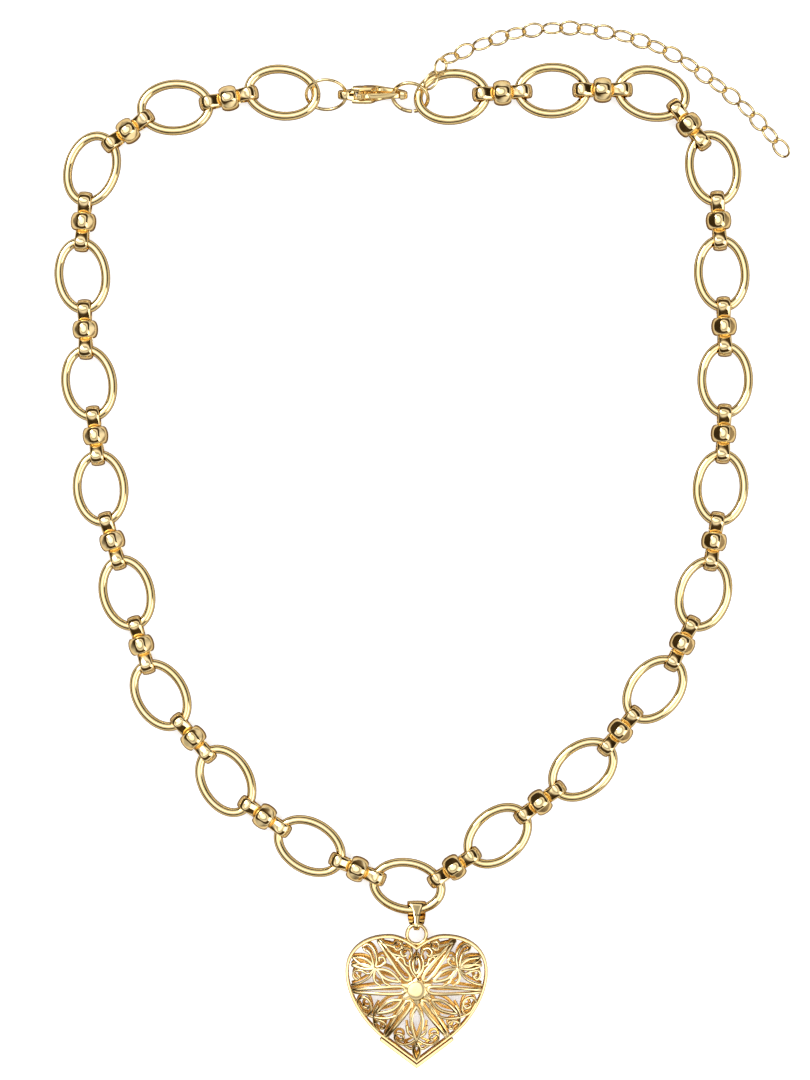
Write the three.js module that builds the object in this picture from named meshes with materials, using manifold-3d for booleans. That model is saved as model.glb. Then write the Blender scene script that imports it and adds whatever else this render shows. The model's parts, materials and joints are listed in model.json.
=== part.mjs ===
// A gold-tone pendant necklace, clasped and laid flat on a table. Big oval links alternate with
// connectors, each a strip loop pinched through a barrel collar. A puffed heart hangs from a folded
// bail on the centre link. A lobster clasp closes the neck loop, and a light extender lies beside it.
// Millimetres, +Z up from the table, +Y from the heart's point to the clasp, +X across the loop.
import * as THREE from "three";
import { mergeVertices } from "three/addons/utils/BufferGeometryUtils.js";
import Module from "manifold-3d";

const wasm = await Module();
wasm.setup();

// ---- Driving dimensions ----

const CHAIN_Z = 2.35; // height of the chain's centreline: the collars lie on the table

// Oval links: round wire bent to an ellipse.
const OVAL_A = 5.92; // half the long axis, to the wire's centre
const OVAL_B = 4.09;
const OVAL_WIRE_R = 0.81;
const OVAL_STEPS = 14;
const WIRE_SIDES = 6;
const RING_STEPS = 16; // to a closed ring

// How the ovals lie on the table: the centre of each, and its long axis's heading in degrees. The
// chain's two arms both start at the centre oval, which carries the heart.
const CENTRE_OVAL = [-2.4, -60.2, 170];
const LEFT_OVALS = [
  [-19.5, -53.2, 149], [-34.2, -41.8, 119], [-45.6, -26.8, 121], [-51.5, -8.9, 104],
  [-56.1, 9.4, 95], [-58.1, 27.8, 99], [-59.3, 46.6, 96], [-57.6, 65.3, 72],
  [-43.05, 76.05, 4], [-24.3, 78.65, -8],
];
const RIGHT_OVALS = [
  [13.4, -51.4, 41], [28.3, -39.8, 38], [40.9, -25.8, 50], [49.4, -9.1, 73],
  [52.4, 9.5, 86], [53.2, 28.4, 90], [52.6, 47, 94], [51.1, 65.4, 101],
  [40.4, 78.5, 168], [23, 79, 181], [5.4, 77.9, 186],
];

// Connectors: a strip bent into a long loop with an eye at each end, pinched in the middle by a collar.
const STRIP_WIDTH = 2.4;
const STRIP_T = 0.48;
const CONNECTOR_LENGTH = 10.65;
const EYE_R = 1.85; // outside, so each eye is 3.7 high
const WAIST_H = 1.45; // half the height of the pinched middle
const EYE_START_X = 1.7; // where each eye opens, beside the collar
const EYE_START_H = 0.95;
const COLLAR_BORE_R = 1.8;
const COLLAR_END_R = 2.1;
const COLLAR_R = 2.35;
const COLLAR_LENGTH = 3.1;
const COLLAR_BELLY = 1.6; // length of the full-width middle
const COLLAR_SIDES = 8;

// Heart: two puffed shells, a strip round the point, and the ring on the cleft.
const HEART_X = -0.8;
const HEART_Y = -78.35; // the boss, which the outline's points are measured from
const PUFF = 3.6; // how far each shell stands out from the seam
const SHELL_T = 0.55;
const SEAM_GAP = 0.1; // from the seam to each shell's edge
const HEART_Z = PUFF + SEAM_GAP; // the seam between the shells, with the back shell's boss on the table
const BOSS_SHARE = 0.14; // the flat boss, as a share of the way from the middle to the edge
const SHELL_RINGS = [BOSS_SHARE, 0.34, 0.58, 0.78, 0.93, 1];
const OUTLINE_STEPS = 4; // to each curve of the outline
const TIP_START = [6.05, -8.5]; // where the straight sides begin, from the boss
const HEART_TIP = [0, -13.05];
const TIP_STRIP_T = 0.5;
const TIP_STRIP_H = 2.4;
const TIP_STRIP_GAP = 0.12;
const PENDANT_RING_R = 1.685;
const PENDANT_RING_WIRE_R = 0.315;
const PENDANT_RING_Y = 9.88; // from the boss

// Bail: a tapered strip folded over the centre oval's wire and closed round the pendant ring.
const BAIL_T = 0.35;
const BAIL_TOP_R = 1.7; // outside
const BAIL_SAG = 0.2; // how far it hangs below the middle of the wire
const BAIL_FOOT_R = 0.92;
const BAIL_WIDTH = 2.8;
const BAIL_FRONT_FOOT = 1.0;
const BAIL_BACK_FOOT = 1.5;

// Clasp: a lobster claw standing nearly on its edge, with a round ring at each end.
const CLASP_X = -4.95; // where the claw holds the end ring
const CLASP_Y = 78.3;
const CLASP_Z = 2.6;
const CLASP_ROLL = 106; // degrees from lying flat
const CLASP_HOLD = [9.45, -0.42]; // the same place on the claw's own outline
const CLASP_T = 2.2;
const TAIL_T = 1.1; // the claw is thinner at both ends
const NOSE_T = 1.5;
const LEVER_T = 0.9;
const LEVER_SLOT = 1.4;
const RIVET_R = 0.4;
const RIVET_PLAY = 0.1;
const PIVOT = [4.6, 0.5];
const SPRING_R = 0.34;
const TAIL_RING_R = 3.5;
const TAIL_RING_WIRE_R = 0.28;
const TAIL_RING_TILT = 51;
const END_RING_R = 3.1;
const END_RING_WIRE_R = 0.33;
const END_RING_TILT = 47;
const END_RING_HEADING = -9;
const END_RING_TURN = -75; // how far round its open side is
const END_RING_GAP = 10; // degrees left open where the wire's ends meet

// Extender: small oval links of thin wire, tilted to and fro so that they interlock.
const SMALL_LINKS = 24;
const LINKS_PER_GROUP = 4;
const SMALL_A = 1.72;
const SMALL_B = 1.26;
const SMALL_WIRE_R = 0.19;
const SMALL_STEPS = 9;
const SMALL_SIDES = 4;
const SMALL_TILT = 38;
const GROUP_GAP = 0.42; // how much closer two links lie where they aren't joined
const EXTENDER_ROUTE = [
  [0.97, 78.95, 4.1], [1.8, 80.5, 4.4], [3.1, 82.5, 4.2], [4.5, 84.3, 2.6],
  [6.5, 85.6, 1.3], [10, 87.1, 1.1], [15.2, 88.9, 1.1],
  [21.3, 90, 1.1], [27.5, 90.1, 1.1], [34, 89.1, 1.1], [39.7, 87.5, 1.1],
  [45.3, 84.9, 1.1], [50.6, 81.2, 1.1], [55.7, 77.2, 1.1], [60.4, 72.4, 1.1], [64.4, 67.6, 1.1],
];

const degrees = THREE.MathUtils.degToRad;

// ---- Materials ----

const gold = new THREE.MeshStandardMaterial({ color: 0xe8c47a, roughness: 0.16, metalness: 1 });
const deepGold = new THREE.MeshStandardMaterial({ color: 0xd9a95c, roughness: 0.24, metalness: 1 });
const springSteel = new THREE.MeshStandardMaterial({ color: 0xb9b9b4, roughness: 0.3, metalness: 1 });

// ---- Solids and booleans ----

function solid(geometry) {
  const bare = geometry.clone();
  bare.deleteAttribute("normal");
  bare.deleteAttribute("uv");
  const merged = mergeVertices(bare, 1e-4);
  return new wasm.Manifold(
    new wasm.Mesh({
      numProp: 3,
      vertProperties: new Float32Array(merged.attributes.position.array),
      triVerts: new Uint32Array(merged.index.array),
    }),
  );
}

function geometryOf(made) {
  const mesh = made.getMesh();
  return new THREE.BufferGeometry()
    .setAttribute("position", new THREE.BufferAttribute(mesh.vertProperties, 3))
    .setIndex(new THREE.BufferAttribute(mesh.triVerts, 1));
}

// A flat outline made as thick as depth, centred on its own plane.
function plate(shape, depth, curveSegments = 3) {
  const geometry = new THREE.ExtrudeGeometry(shape, { depth, bevelEnabled: false, curveSegments });
  return geometry.translate(0, 0, -depth / 2);
}

function place(geometry, name, material, parent) {
  const mesh = new THREE.Mesh(geometry, material);
  mesh.name = name;
  parent.add(mesh);
  return mesh;
}

// ---- Wire shapes ----

class Ellipse3 extends THREE.Curve {
  constructor(a, b) {
    super();
    this.a = a;
    this.b = b;
  }
  getPoint(t, target = new THREE.Vector3()) {
    const angle = 2 * Math.PI * t;
    return target.set(this.a * Math.cos(angle), this.b * Math.sin(angle), 0);
  }
}

function wireLoop(a, b, wireR, steps, sides) {
  return new THREE.TubeGeometry(new Ellipse3(a, b), steps, wireR, sides, true);
}

function ringLoop(r, wireR) {
  return wireLoop(r, r, wireR, RING_STEPS, WIRE_SIDES);
}

// ---- Chain: ovals and connectors ----

// The point of a laid oval's wire centreline where the outward direction is square to the wire.
function wirePoint([x, y, heading], direction) {
  const along = new THREE.Vector2(Math.cos(degrees(heading)), Math.sin(degrees(heading)));
  const across = new THREE.Vector2(-along.y, along.x);
  const u = direction.dot(along);
  const v = direction.dot(across);
  const k = Math.hypot(OVAL_A * u, OVAL_B * v);
  return new THREE.Vector2(x, y)
    .addScaledVector(along, (OVAL_A ** 2 * u) / k)
    .addScaledVector(across, (OVAL_B ** 2 * v) / k);
}

// Where a connector grips the wires of two neighbouring ovals. It slides round each oval's end until
// it pulls square to the wire, which the passes settle on step by step.
function grips(from, to) {
  const direction = new THREE.Vector2(to[0] - from[0], to[1] - from[1]).normalize();
  let start, end;
  for (let pass = 0; pass < 80; pass++) {
    start = wirePoint(from, direction);
    end = wirePoint(to, direction.clone().negate());
    direction.lerp(end.clone().sub(start).normalize(), 0.3).normalize();
  }
  return { start, end };
}

// The connector lies along X, with its loop standing in the XZ plane.
function connectorGeometry() {
  const eyeX = CONNECTOR_LENGTH / 2 - EYE_R;
  const outline = new THREE.Shape();
  outline.moveTo(-EYE_START_X, -WAIST_H);
  outline.lineTo(EYE_START_X, -WAIST_H);
  outline.absarc(eyeX, 0, EYE_R, -Math.PI / 2, Math.PI / 2);
  outline.lineTo(EYE_START_X, WAIST_H);
  outline.lineTo(-EYE_START_X, WAIST_H);
  outline.absarc(-eyeX, 0, EYE_R, Math.PI / 2, 1.5 * Math.PI);
  for (const side of [1, -1]) {
    const eye = new THREE.Path();
    const facing = side > 0 ? 0 : Math.PI;
    eye.absarc(side * eyeX, 0, EYE_R - STRIP_T, facing - Math.PI / 2, facing + Math.PI / 2);
    eye.lineTo(side * EYE_START_X, side * EYE_START_H);
    eye.lineTo(side * EYE_START_X, -side * EYE_START_H);
    outline.holes.push(eye);
  }
  const strip = solid(plate(outline, STRIP_WIDTH).rotateX(Math.PI / 2));
  return geometryOf(strip.add(solid(collarGeometry())));
}

function collarGeometry() {
  const end = COLLAR_LENGTH / 2;
  const belly = COLLAR_BELLY / 2;
  const profile = [
    [COLLAR_BORE_R, -end], [COLLAR_END_R, -end], [COLLAR_R, -belly], [COLLAR_R, belly],
    [COLLAR_END_R, end], [COLLAR_BORE_R, end], [COLLAR_BORE_R, -end],
  ].map(([r, x]) => new THREE.Vector2(r, x));
  return new THREE.LatheGeometry(profile, COLLAR_SIDES).rotateZ(-Math.PI / 2);
}

// ---- Heart ----

// The outline from the cleft down the right side to the point, measured from the boss.
function heartOutline() {
  const right = new THREE.Path();
  right.moveTo(0, 7.3);
  right.bezierCurveTo(1.2, 8.3, 2.9, 9.35, 4.9, 9.35);
  right.bezierCurveTo(9.4, 9.35, 12.4, 6.8, 12.4, 3);
  right.bezierCurveTo(12.4, -1.2, 9.4, -5.9, ...TIP_START);
  right.lineTo(...HEART_TIP);
  const half = right.getPoints(OUTLINE_STEPS);
  const other = half.slice(1, -1).reverse().map((p) => new THREE.Vector2(-p.x, p.y));
  return half.concat(other);
}

// How far the dome stands out at a share of the way from the middle to the edge.
function domeHeight(share, puff) {
  return share === 1 ? 0 : puff * Math.sqrt(1 - Math.max(0, share - BOSS_SHARE) ** 2.2);
}

// A dome over the outline, between two skins, open at the seam. It faces +Z.
function shellGeometry(outline) {
  const columns = outline.length;
  const inner = 1 - SHELL_T / 11;
  const points = [0, 0, PUFF, 0, 0, PUFF - SHELL_T];
  const addSkin = (scale, puff) => {
    const first = points.length / 3;
    for (const share of SHELL_RINGS)
      for (const p of outline)
        points.push(p.x * share * scale, p.y * share * scale, domeHeight(share, puff));
    return first;
  };
  const outside = addSkin(1, PUFF);
  const inside = addSkin(inner, PUFF - SHELL_T);
  const faces = [];
  const next = (i) => (i + 1) % columns;
  for (let i = 0; i < columns; i++) {
    faces.push(0, outside + next(i), outside + i);
    faces.push(1, inside + i, inside + next(i));
    for (let ring = 1; ring < SHELL_RINGS.length; ring++) {
      const near = (ring - 1) * columns;
      const far = ring * columns;
      faces.push(outside + near + i, outside + near + next(i), outside + far + i);
      faces.push(outside + near + next(i), outside + far + next(i), outside + far + i);
      faces.push(inside + near + i, inside + far + i, inside + near + next(i));
      faces.push(inside + near + next(i), inside + far + i, inside + far + next(i));
    }
    const edge = (SHELL_RINGS.length - 1) * columns;
    faces.push(outside + edge + i, outside + edge + next(i), inside + edge + i);
    faces.push(outside + edge + next(i), inside + edge + next(i), inside + edge + i);
  }
  return new THREE.BufferGeometry()
    .setAttribute("position", new THREE.Float32BufferAttribute(points, 3))
    .setIndex(faces);
}

// A pointed leaf-shaped opening from one point to another.
function leaf(from, to, width) {
  const along = new THREE.Vector2().subVectors(to, from);
  const across = new THREE.Vector2(-along.y, along.x).setLength(width);
  const middle = new THREE.Vector2().addVectors(from, to).multiplyScalar(0.5);
  const shape = new THREE.Shape();
  shape.moveTo(from.x, from.y);
  shape.quadraticCurveTo(middle.x - across.x, middle.y - across.y, to.x, to.y);
  shape.quadraticCurveTo(middle.x + across.x, middle.y + across.y, from.x, from.y);
  return shape;
}

// The openwork, as a ring of leaf openings between the boss and the edge. Each is an angle from +X,
// where it starts and ends along that line, and its half width.
const LEAVES = [
  [90, 2.7, 6.2, 1.1], [63, 3, 8.4, 1.3], [36, 3, 10.6, 1.7], [12, 3, 10.4, 1.5],
  [-12, 3, 10.2, 1.5], [-35, 3, 9.3, 1.7], [-62, 3, 9, 1.3], [-90, 3, 11, 1.5],
];

function openwork(made) {
  for (const [angle, start, end, width] of LEAVES)
    for (const side of angle % 180 ? [1, -1] : [1]) {
      const way = new THREE.Vector2(side * Math.cos(degrees(angle)), Math.sin(degrees(angle)));
      const from = way.clone().multiplyScalar(start);
      const to = way.clone().multiplyScalar(end);
      made = made.subtract(solid(plate(leaf(from, to, width), 4 * PUFF, 2)));
    }
  return made;
}

// The strip that wraps the heart's point, standing a little proud of the shells' edges.
function tipStripGeometry() {
  const start = new THREE.Vector2(...TIP_START);
  const point = new THREE.Vector2(...HEART_TIP);
  const run = new THREE.Vector2().subVectors(point, start).normalize();
  const out = new THREE.Vector2(-run.y, run.x);
  const offset = (distance) => [
    start.clone().addScaledVector(out, distance),
    new THREE.Vector2(0, point.y - distance / Math.abs(out.y)),
  ];
  const [nearTop, nearTip] = offset(TIP_STRIP_GAP);
  const [farTop, farTip] = offset(TIP_STRIP_GAP + TIP_STRIP_T);
  const shape = new THREE.Shape();
  shape.moveTo(nearTop.x, nearTop.y);
  shape.lineTo(nearTip.x, nearTip.y);
  shape.lineTo(-nearTop.x, nearTop.y);
  shape.lineTo(-farTop.x, farTop.y);
  shape.lineTo(farTip.x, farTip.y);
  shape.lineTo(farTop.x, farTop.y);
  return plate(shape, TIP_STRIP_H);
}

// ---- Bail ----

// The outline round two circles, one at the origin and one on the X axis.
function strap(r1, r2, distance, Kind) {
  const lean = Math.acos((r1 - r2) / distance);
  const shape = new Kind();
  shape.absarc(0, 0, r1, lean, 2 * Math.PI - lean);
  shape.absarc(distance, 0, r2, -lean, lean);
  shape.closePath();
  return shape;
}

// The bail runs along X from the wire that it hangs on to the ring that it holds. Its width is along
// Y, and +Z is its front.
function bailGeometry(distance) {
  const side = strap(BAIL_TOP_R, BAIL_FOOT_R, distance, THREE.Shape);
  side.holes.push(strap(BAIL_TOP_R - BAIL_T, BAIL_FOOT_R - BAIL_T, distance, THREE.Path));
  const band = solid(plate(side, BAIL_WIDTH, 5).rotateX(Math.PI / 2));
  const foot = distance + BAIL_FOOT_R;
  const taper = (footWidth, front) => {
    const shape = new THREE.Shape();
    shape.moveTo(-2 * BAIL_TOP_R, -BAIL_WIDTH);
    shape.lineTo(0, -BAIL_WIDTH / 2);
    shape.lineTo(distance, -footWidth / 2);
    shape.lineTo(foot + 1, -footWidth / 2);
    shape.lineTo(foot + 1, footWidth / 2);
    shape.lineTo(distance, footWidth / 2);
    shape.lineTo(0, BAIL_WIDTH / 2);
    shape.lineTo(-2 * BAIL_TOP_R, BAIL_WIDTH);
    const depth = 4;
    return solid(plate(shape, depth).translate(0, 0, (front ? 1 : -1) * (depth / 2 - 0.01)));
  };
  return geometryOf(band.intersect(taper(BAIL_FRONT_FOOT, true).add(taper(BAIL_BACK_FOOT, false))));
}

// ---- Clasp ----

function circleHole([x, y], r) {
  const hole = new THREE.Path();
  hole.absarc(x, y, r, 0, 2 * Math.PI, true);
  return hole;
}

// The claw lies in the XY plane: its tail eye at the origin end, its nose towards +X, and its lever
// on the +Y side.
function claspBodyGeometry() {
  const tail = new THREE.Vector2(1.2, 0);
  const shape = new THREE.Shape();
  shape.absarc(tail.x, tail.y, 1.4, degrees(50), degrees(310));
  shape.bezierCurveTo(3.4, -1.2, 4.2, -2.4, 6.6, -2.6);
  shape.bezierCurveTo(9.4, -2.8, 11.6, -2.2, 12, -0.2);
  shape.bezierCurveTo(12.1, 0.6, 11.9, 1.2, 11.4, 1.6);
  shape.lineTo(10.7, 1.5);
  shape.lineTo(10.55, -0.4);
  shape.bezierCurveTo(10.2, -1.4, 9, -1.5, 8, -1.45);
  shape.bezierCurveTo(6.9, -1.4, 6.3, -0.9, 6.2, 0.2);
  shape.lineTo(5.7, 1.5);
  shape.lineTo(3.6, 1.6);
  shape.holes.push(circleHole([tail.x, tail.y], 0.85));
  let body = solid(plate(shape, CLASP_T));
  for (const [from, to, thickness] of [[-1, 2.3, TAIL_T], [8.6, 13, NOSE_T]])
    for (const side of [1, -1]) {
      const cut = new THREE.BoxGeometry(to - from, 8, CLASP_T);
      cut.translate((from + to) / 2, 0, (side * (thickness + CLASP_T)) / 2);
      body = body.subtract(solid(cut));
    }
  const slot = new THREE.Shape();
  slot.moveTo(2.7, -0.9);
  slot.lineTo(6.6, -0.9);
  slot.lineTo(6.6, 3);
  slot.lineTo(2.7, 3);
  const bore = new THREE.Shape();
  bore.absarc(PIVOT[0], PIVOT[1], RIVET_R + RIVET_PLAY, 0, 2 * Math.PI);
  body = body.subtract(solid(plate(slot, LEVER_SLOT)));
  return geometryOf(body.subtract(solid(plate(bore, 2 * CLASP_T, 6))));
}

function claspLeverGeometry() {
  const shape = new THREE.Shape();
  shape.absarc(PIVOT[0], PIVOT[1], 0.95, degrees(150), degrees(300));
  shape.lineTo(5.9, 0.75);
  shape.lineTo(10.3, 0.75);
  shape.lineTo(10.4, 1.35);
  shape.quadraticCurveTo(8, 1.9, 5.6, 1.85);
  shape.quadraticCurveTo(4.6, 2, 4.2, 2.7);
  shape.lineTo(3.3, 2.85);
  shape.lineTo(3.2, 2.2);
  shape.holes.push(circleHole(PIVOT, RIVET_R + RIVET_PLAY));
  return plate(shape, LEVER_T);
}

function rivetGeometry() {
  return new THREE.CylinderGeometry(RIVET_R, RIVET_R, CLASP_T + 0.2, 10)
    .rotateX(Math.PI / 2)
    .translate(PIVOT[0], PIVOT[1], 0);
}

// The lever's return spring, as the outer shape of its coil, in the slot behind the pivot.
function springGeometry() {
  return new THREE.CylinderGeometry(SPRING_R, SPRING_R, LEVER_T, 8)
    .rotateX(Math.PI / 2)
    .translate(PIVOT[0] - 1.42, PIVOT[1] + 0.35, 0);
}

function openRingGeometry(r, wireR, gap) {
  const arc = new THREE.Path();
  arc.absarc(0, 0, r, degrees(gap / 2), degrees(360 - gap / 2));
  const points = arc.getPoints(10).map((p) => new THREE.Vector3(p.x, p.y, 0));
  const route = new THREE.CatmullRomCurve3(points);
  const section = new THREE.Shape();
  section.absarc(0, 0, wireR, 0, 2 * Math.PI);
  return new THREE.ExtrudeGeometry(section, { steps: 20, extrudePath: route, curveSegments: 3 });
}

// ---- Assembly ----

const necklace = new THREE.Group();
const joints = {}; // each moving node's pivot and axis, in the frame of the finished part
const vector = (x, y, z) => new THREE.Vector3(x, y, z);

function hinge(name, point, axis) {
  joints[name] = { point, axis: axis.clone().normalize() };
}

const claspPoint = vector(CLASP_X, CLASP_Y, CLASP_Z);

// One arm of the neck loop, from the centre oval to the clasp.
function addArm(side, laid) {
  const ovals = [CENTRE_OVAL, ...laid];
  const gripList = ovals.slice(1).map((oval, i) => grips(ovals[i], oval));
  gripList.forEach(({ start, end }, i) => {
    const middle = start.clone().add(end).multiplyScalar(0.5);
    const run = end.clone().sub(start);
    const connector = place(connectorGeometry(), `connector_${side}_${i + 1}`, gold, necklace);
    connector.position.set(middle.x, middle.y, CHAIN_Z);
    connector.rotation.z = run.angle();
    hinge(connector.name, connector.position.clone(), vector(run.x, run.y, 0));
    addOval(`oval_link_${side}_${i + 1}`, laid[i]);
    const last = gripList[i + 1] ? gripList[i + 1].start : claspPoint;
    const pull = vector(last.x - end.x, last.y - end.y, 0);
    hinge(`oval_link_${side}_${i + 1}`, vector(end.x, end.y, CHAIN_Z), pull);
  });
  const first = vector(gripList[0].start.x, gripList[0].start.y, CHAIN_Z);
  const lift = side === "left" ? claspPoint.clone().sub(first) : first.clone().sub(claspPoint);
  hinge(`${side}_arm`, first, lift);
}

function addOval(name, [x, y, heading]) {
  const wire = wireLoop(OVAL_A, OVAL_B, OVAL_WIRE_R, OVAL_STEPS, WIRE_SIDES);
  const oval = place(wire, name, gold, necklace);
  oval.position.set(x, y, CHAIN_Z);
  oval.rotation.z = degrees(heading);
}

// The heart, its ring, and the bail from the centre oval's lowest wire.
function addPendant() {
  const heart = new THREE.Group();
  heart.position.set(HEART_X, HEART_Y, HEART_Z);
  necklace.add(heart);
  const shell = geometryOf(openwork(solid(shellGeometry(heartOutline()))));
  place(shell, "heart_front_shell", gold, heart).position.z = SEAM_GAP;
  const back = place(shell.clone(), "heart_back_shell", deepGold, heart);
  back.rotation.y = Math.PI;
  back.position.z = -SEAM_GAP;
  place(tipStripGeometry(), "heart_tip_strip", gold, heart);
  const ring = ringLoop(PENDANT_RING_R, PENDANT_RING_WIRE_R);
  place(ring, "pendant_ring", gold, heart).position.y = PENDANT_RING_Y;

  const hang = wirePoint(CENTRE_OVAL, new THREE.Vector2(0, -1));
  const top = vector(HEART_X, hang.y - BAIL_SAG, CHAIN_Z);
  const foot = vector(HEART_X, HEART_Y + PENDANT_RING_Y + PENDANT_RING_R, HEART_Z);
  const drop = foot.clone().sub(top);
  const bail = place(bailGeometry(drop.length()), "bail", gold, necklace);
  bail.position.copy(top);
  const down = drop.clone().normalize();
  const right = vector(1, 0, 0);
  const front = down.clone().cross(right);
  bail.quaternion.setFromRotationMatrix(new THREE.Matrix4().makeBasis(down, right, front));
  hinge("bail", top, vector(-1, 0, 0));
  hinge("heart", foot, vector(-1, 0, 0));
}

function addClasp() {
  const clasp = new THREE.Group();
  clasp.position.copy(claspPoint);
  clasp.rotation.x = degrees(CLASP_ROLL);
  necklace.add(clasp);
  const claw = new THREE.Group();
  claw.position.set(-CLASP_HOLD[0], -CLASP_HOLD[1], 0);
  clasp.add(claw);
  place(claspBodyGeometry(), "clasp_body", gold, claw);
  place(claspLeverGeometry(), "clasp_lever", gold, claw);
  place(rivetGeometry(), "clasp_rivet", deepGold, claw);
  place(springGeometry(), "clasp_spring", springSteel, claw);
  necklace.updateMatrixWorld(true);
  const eye = claw.localToWorld(vector(1.2, 0, 0));
  hinge("clasp", eye, claspPoint.clone().sub(eye));
  const pivot = claw.localToWorld(vector(...PIVOT, 0));
  hinge("clasp_lever", pivot, claw.localToWorld(vector(...PIVOT, -1)).sub(pivot));

  const tailRing = place(ringLoop(TAIL_RING_R, TAIL_RING_WIRE_R), "tail_jump_ring", gold, necklace);
  tailRing.position.set(eye.x + 0.1 - TAIL_RING_R, eye.y, eye.z);
  tailRing.rotation.x = degrees(TAIL_RING_TILT);
  hinge("tail_jump_ring", tailRing.position.clone(), vector(1, 0, 0));

  const openRing = openRingGeometry(END_RING_R, END_RING_WIRE_R, END_RING_GAP);
  const endRing = place(openRing, "end_jump_ring", gold, necklace);
  const lie = vector(Math.cos(degrees(END_RING_HEADING)), Math.sin(degrees(END_RING_HEADING)), 0);
  endRing.position.copy(claspPoint).addScaledVector(lie, END_RING_R);
  openRing.rotateZ(degrees(END_RING_TURN)).rotateX(degrees(END_RING_TILT));
  endRing.rotation.z = degrees(END_RING_HEADING);
  hinge("end_jump_ring", endRing.position.clone(), lie);
}

// The small links, joined in groups of four, each group turning on the one before it.
function addExtender() {
  const stations = EXTENDER_ROUTE.map((p) => vector(...p));
  const route = new THREE.CatmullRomCurve3(stations, false, "centripetal");
  const pitch = (route.getLength() - SMALL_WIRE_R) / SMALL_LINKS;
  const groups = SMALL_LINKS / LINKS_PER_GROUP;
  for (let g = 0; g < groups; g++) {
    let joined = null;
    for (let k = 0; k < LINKS_PER_GROUP; k++) {
      const number = g * LINKS_PER_GROUP + k;
      const squeeze = ((k - (LINKS_PER_GROUP - 1) / 2) * -GROUP_GAP) / LINKS_PER_GROUP;
      const at = (number + 0.5) * pitch + squeeze;
      const centre = route.getPointAt(at / route.getLength());
      const along = route.getTangentAt(at / route.getLength());
      const across = vector(0, 0, 1).cross(along).normalize();
      const up = along.clone().cross(across);
      const link = wireLoop(SMALL_A, SMALL_B, SMALL_WIRE_R, SMALL_STEPS, SMALL_SIDES);
      link.rotateX(degrees(number % 2 ? SMALL_TILT : -SMALL_TILT));
      link.applyMatrix4(new THREE.Matrix4().makeBasis(along, across, up).setPosition(centre));
      joined = joined ? joined.add(solid(link)) : solid(link);
    }
    const name = `extender_links_${g + 1}`;
    place(geometryOf(joined), name, gold, necklace);
    const start = route.getPointAt((g * LINKS_PER_GROUP * pitch) / route.getLength());
    hinge(name, start, vector(0, 0, 1));
  }
}

addOval("oval_link_centre", CENTRE_OVAL);
addArm("left", LEFT_OVALS);
addArm("right", RIGHT_OVALS);
addPendant();
addClasp();
addExtender();

// The origin is at the middle of the whole necklace's box, on the table.
const box = new THREE.Box3().setFromObject(necklace, true);
const origin = vector((box.min.x + box.max.x) / 2, (box.min.y + box.max.y) / 2, box.min.z);
necklace.position.copy(origin).negate();
for (const joint of Object.values(joints)) joint.point = joint.point.clone().sub(origin);
necklace.userData.joints = joints;

export default necklace;
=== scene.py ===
# A gold-tone pendant necklace, clasped and laid flat: its close look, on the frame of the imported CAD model.
# Sizes are in millimetres and are turned into metres as each piece is made.
import json
import math

import bpy
import numpy as np
from mathutils import Matrix, Vector
from mathutils.geometry import interpolate_bezier


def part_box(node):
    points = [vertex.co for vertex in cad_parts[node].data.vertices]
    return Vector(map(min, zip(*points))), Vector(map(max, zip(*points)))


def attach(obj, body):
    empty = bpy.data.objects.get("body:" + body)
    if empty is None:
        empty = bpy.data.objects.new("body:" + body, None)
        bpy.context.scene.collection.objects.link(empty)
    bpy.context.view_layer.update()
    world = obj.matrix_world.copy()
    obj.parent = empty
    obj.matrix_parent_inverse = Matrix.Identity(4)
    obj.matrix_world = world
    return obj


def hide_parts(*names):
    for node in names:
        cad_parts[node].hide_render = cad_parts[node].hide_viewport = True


MM = 0.001

# ---- Driving dimensions ----

OVAL_A = 5.92  # half the long axis, to the wire's centre
OVAL_B = 4.09
OVAL_WIRE_R = 0.8
OVAL_SEAM = 0.09  # the joint between the wire's two ends

STRIP_WIDTH = 2.3
STRIP_T = 0.52  # half-round, so it is thickest along the middle
STRIP_EDGE_T = 0.14
EYE_X = 3.475  # centre of each eye, from the middle of the connector
EYE_R = 1.34  # inside
WAIST_H = 0.42
WAIST_X = 1.5
STRIP_SHOULDER = (2.05, 0.7)  # between the waist and each eye
COLLAR_LENGTH = 2.95
COLLAR_R = 2.25
COLLAR_END_R = 1.72
COLLAR_T = 0.28
COLLAR_PADS = (50, 130, 230, 310)  # where the collar is pressed flat, in degrees round it
COLLAR_PAD_HALF = 19

TIP_START = (6.05, -8.5)  # where the heart's straight sides begin, from the boss
HEART_TIP = (0, -13.05)
PUFF = 3.6
SEAM_GAP = 0.1
BOSS_SHARE = 0.14
BOSS_R = 1.65
HEART_RISE = 0.5  # brings the cleft up over the foot of the heart's ring
HUB_R = 2.0
# The hub's points, as (direction in degrees, reach): they run out between the spears.
HUB_POINTS = ((24, 3.1), (-29, 3.2), (90, 2.5), (-90, 2.7), (156, 3.1), (209, 3.2))
HUB_POINT_HALF = 17
HUB_POINT_CURVE = 0.75
SPEAR_W = 0.56
CURL_W = 0.44
FILIGREE_H = 0.6
RIM_W = 0.56
RIM_H = 1.05
TIP_STRIP_H = 2.4
PENDANT_RING_R = 1.685
PENDANT_RING_WIRE_R = 0.315

BAIL_T = 0.35
BAIL_TOP_R = 1.55
BAIL_FOOT_R = 0.92
BAIL_CORNER = 0.8  # the bend's radius at the strip's two top edges
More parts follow.
